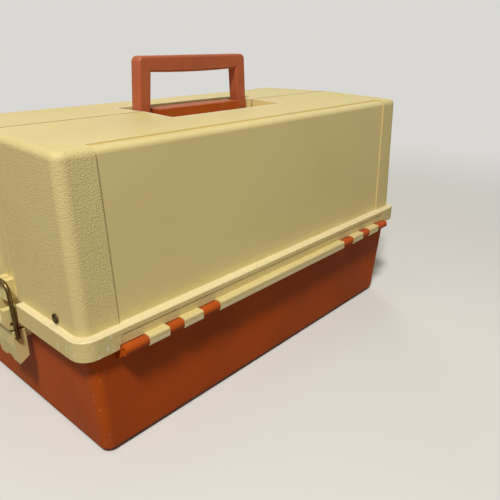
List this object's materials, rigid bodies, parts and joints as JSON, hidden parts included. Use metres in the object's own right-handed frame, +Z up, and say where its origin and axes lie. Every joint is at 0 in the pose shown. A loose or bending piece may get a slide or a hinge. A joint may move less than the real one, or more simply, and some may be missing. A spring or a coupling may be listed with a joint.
{
  "type": "tackle box",
  "caption": "Hip-roof tackle box with a drafted tub, paired lids hinged along both long sides, end latches, a folding handle and swing-out trays.",
  "frame": {"origin": "on the surface under the feet, below the middle of the box", "axes": "+X along the box, +Z up, -Y towards the near long side"},
  "size_m": [0.498, 0.2552, 0.3115],
  "materials": {
    "cream_plastic": "fine pebble grain with smooth panels",
    "orange_plastic": "satin",
    "bronze_wire": "dull, darkened",
    "steel": "dull plated",
    "dark_rivet": "darkened",
    "tray_plastic": "satin",
    "divider_plastic": "satin"
  },
  "bodies": {
    "base": {"tub": "orange_plastic", "near_hinge_rod": "steel", "near_arm_pivots": "steel", "far_hinge_rod": "steel", "far_arm_pivots": "steel", "left_latch_bracket": "cream_plastic", "left_bracket_rivets": "dark_rivet", "left_lever_pin": "steel", "right_latch_bracket": "cream_plastic", "right_bracket_rivets": "dark_rivet", "right_lever_pin": "steel"},
    "near_lid": {"near_lid": "cream_plastic", "near_lid_rivets": "dark_rivet"},
    "far_lid": {"far_lid": "cream_plastic", "far_lid_rivets": "dark_rivet", "handle_bar": "orange_plastic", "bar_screws": "steel", "handle_pins": "steel"},
    "handle": {"handle": "orange_plastic"},
    "near_outer_arms": {"near_outer_arm_left": "steel", "near_outer_arm_right": "steel"},
    "near_inner_arms": {"near_inner_arm_left": "steel", "near_inner_arm_right": "steel", "near_link_pins": "steel"},
    "near_links": {"near_link_left": "steel", "near_link_right": "steel"},
    "near_lower_tray": {"near_lower_tray": "tray_plastic", "near_lower_tray_rivets": "steel"},
    "near_upper_tray": {"near_upper_tray": "tray_plastic", "near_upper_tray_rivets": "steel", "near_dividers": "divider_plastic"},
    "far_outer_arms": {"far_outer_arm_left": "steel", "far_outer_arm_right": "steel"},
    "far_inner_arms": {"far_inner_arm_left": "steel", "far_inner_arm_right": "steel", "far_link_pins": "steel"},
    "far_links": {"far_link_left": "steel", "far_link_right": "steel"},
    "far_lower_tray": {"far_lower_tray": "tray_plastic", "far_lower_tray_rivets": "steel"},
    "far_upper_tray": {"far_upper_tray": "tray_plastic", "far_upper_tray_rivets": "steel", "far_dividers": "divider_plastic"},
    "left_lever": {"left_latch_lever": "cream_plastic"},
    "left_bail": {"left_latch_bail": "bronze_wire"},
    "right_lever": {"right_latch_lever": "cream_plastic"},
    "right_bail": {"right_latch_bail": "bronze_wire"}
  },
  "joints": [
    {"name": "near_lid_hinge", "type": "hinge", "parent": "base", "child": "near_lid", "pos_m": [0, -0.123, 0.104], "axis": [1, 0, 0], "range_deg": [0, 94]},
    {"name": "near_outer_arms_pivot", "type": "hinge", "parent": "base", "child": "near_outer_arms", "pos_m": [0, -0.0925, 0.104], "axis": [1, 0, 0], "range_deg": [0, 94]},
    {"name": "near_inner_arms_pivot", "type": "hinge", "parent": "base", "child": "near_inner_arms", "pos_m": [0, -0.076, 0.104], "axis": [1, 0, 0], "range_deg": [0, 94]},
    {"name": "near_lower_tray_pivot", "type": "hinge", "parent": "near_outer_arms", "child": "near_lower_tray", "pos_m": [0, -0.07176, 0.12704], "axis": [1, 0, 0], "range_deg": [-94, 0]},
    {"name": "near_upper_tray_pivot", "type": "hinge", "parent": "near_outer_arms", "child": "near_upper_tray", "pos_m": [0, -0.03027, 0.17311], "axis": [1, 0, 0], "range_deg": [-94, 0]},
    {"name": "near_links_pivot", "type": "hinge", "parent": "near_lid", "child": "near_links", "pos_m": [0, -0.079, 0.1275], "axis": [1, 0, 0], "range_deg": [-94, 0]},
    {"name": "far_lid_hinge", "type": "hinge", "parent": "base", "child": "far_lid", "pos_m": [0, 0.123, 0.104], "axis": [-1, 0, 0], "range_deg": [0, 94]},
    {"name": "far_outer_arms_pivot", "type": "hinge", "parent": "base", "child": "far_outer_arms", "pos_m": [0, 0.0925, 0.104], "axis": [-1, 0, 0], "range_deg": [0, 94]},
    {"name": "far_inner_arms_pivot", "type": "hinge", "parent": "base", "child": "far_inner_arms", "pos_m": [0, 0.076, 0.104], "axis": [-1, 0, 0], "range_deg": [0, 94]},
    {"name": "far_lower_tray_pivot", "type": "hinge", "parent": "far_outer_arms", "child": "far_lower_tray", "pos_m": [0, 0.07176, 0.12704], "axis": [-1, 0, 0], "range_deg": [-94, 0]},
    {"name": "far_upper_tray_pivot", "type": "hinge", "parent": "far_outer_arms", "child": "far_upper_tray", "pos_m": [0, 0.03027, 0.17311], "axis": [-1, 0, 0], "range_deg": [-94, 0]},
    {"name": "far_links_pivot", "type": "hinge", "parent": "far_lid", "child": "far_links", "pos_m": [0, 0.079, 0.1275], "axis": [-1, 0, 0], "range_deg": [-94, 0]},
    {"name": "handle_fold", "type": "hinge", "parent": "far_lid", "child": "handle", "pos_m": [0, 0.0145, 0.256], "axis": [1, 0, 0], "range_deg": [0, 90]},
    {"name": "left_lever_turn", "type": "hinge", "parent": "base", "child": "left_lever", "pos_m": [-0.2435, 0, 0.102], "axis": [0, 1, 0], "range_deg": [-6, 120]},
    {"name": "left_bail_swing", "type": "hinge", "parent": "left_lever", "child": "left_bail", "pos_m": [-0.2413, 0, 0.0875], "axis": [0, 1, 0], "range_deg": [-156, 7.8]},
    {"name": "right_lever_turn", "type": "hinge", "parent": "base", "child": "right_lever", "pos_m": [0.2435, 0, 0.102], "axis": [0, -1, 0], "range_deg": [-6, 120]},
    {"name": "right_bail_swing", "type": "hinge", "parent": "right_lever", "child": "right_bail", "pos_m": [0.2413, 0, 0.0875], "axis": [0, -1, 0], "range_deg": [-156, 7.8]}
  ],
  "couplings": [
    {"joint": "near_outer_arms_pivot", "follows": "near_lid_hinge", "ratio": 1},
    {"joint": "near_inner_arms_pivot", "follows": "near_lid_hinge", "ratio": 1},
    {"joint": "near_lower_tray_pivot", "follows": "near_lid_hinge", "ratio": -1},
    {"joint": "near_upper_tray_pivot", "follows": "near_lid_hinge", "ratio": -1},
    {"joint": "near_links_pivot", "follows": "near_lid_hinge", "ratio": -1},
    {"joint": "far_outer_arms_pivot", "follows": "far_lid_hinge", "ratio": 1},
    {"joint": "far_inner_arms_pivot", "follows": "far_lid_hinge", "ratio": 1},
    {"joint": "far_lower_tray_pivot", "follows": "far_lid_hinge", "ratio": -1},
    {"joint": "far_upper_tray_pivot", "follows": "far_lid_hinge", "ratio": -1},
    {"joint": "far_links_pivot", "follows": "far_lid_hinge", "ratio": -1},
    {"joint": "left_bail_swing", "follows": "left_lever_turn", "ratio": -1.3},
    {"joint": "right_bail_swing", "follows": "right_lever_turn", "ratio": -1.3}
  ]
}
